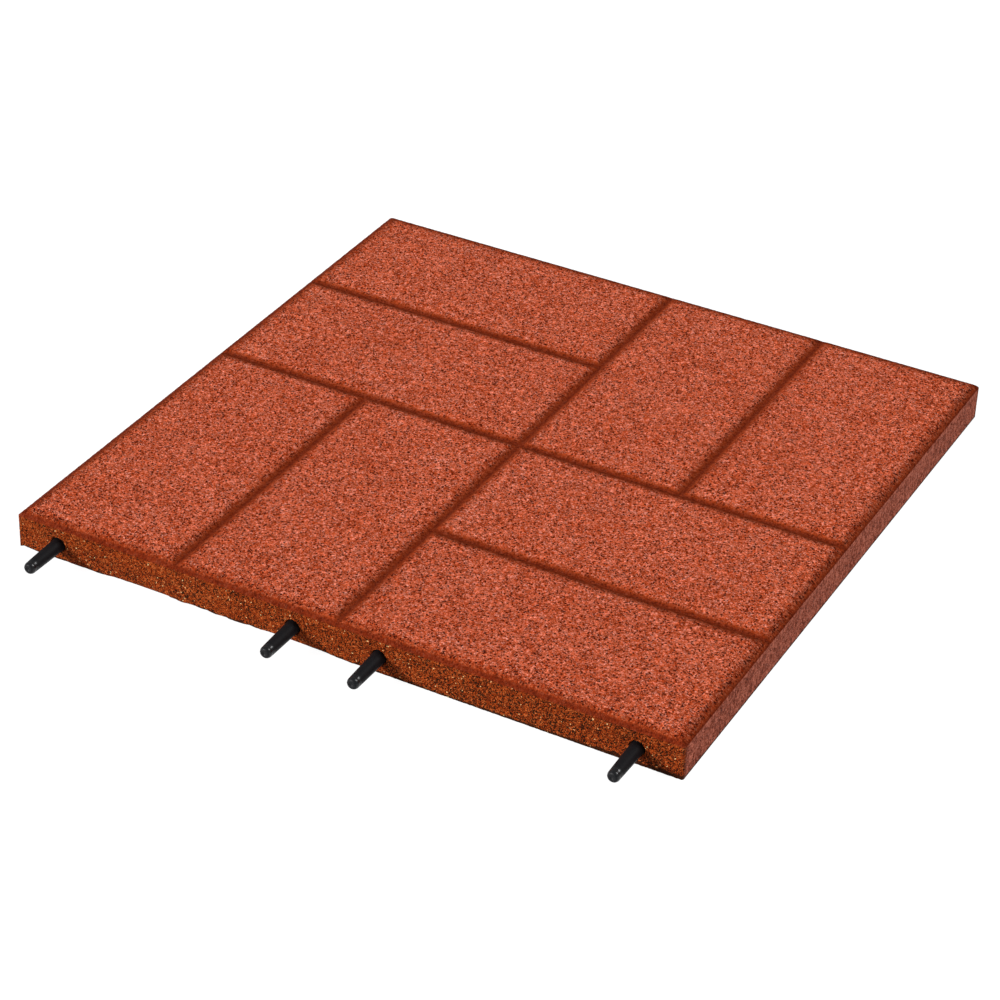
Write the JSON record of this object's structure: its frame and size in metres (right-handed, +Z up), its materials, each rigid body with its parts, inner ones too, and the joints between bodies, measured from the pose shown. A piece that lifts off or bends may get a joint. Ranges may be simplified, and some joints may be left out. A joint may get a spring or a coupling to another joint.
{
  "type": "rubber stable mat",
  "caption": "Square moulded rubber-granulate mat with a basket-weave brick relief, a bevelled rim, and black dowel pins along one side that plug into the next mat.",
  "frame": {"origin": "centre of the mat's underside, on the floor", "axes": "+Z up through the thickness, -Y towards the side that the dowel pins stand out of, +X to the right when looking at that side"},
  "size_m": [0.5, 0.534, 0.03],
  "materials": {
    "granulate": "matt red-brown bonded rubber granulate with a pitted grain",
    "pin_plastic": "black satin moulded plastic"
  },
  "bodies": {
    "root": {"tile": "granulate", "pin_1": "pin_plastic", "pin_2": "pin_plastic", "pin_3": "pin_plastic", "pin_4": "pin_plastic"}
  },
  "joints": []
}
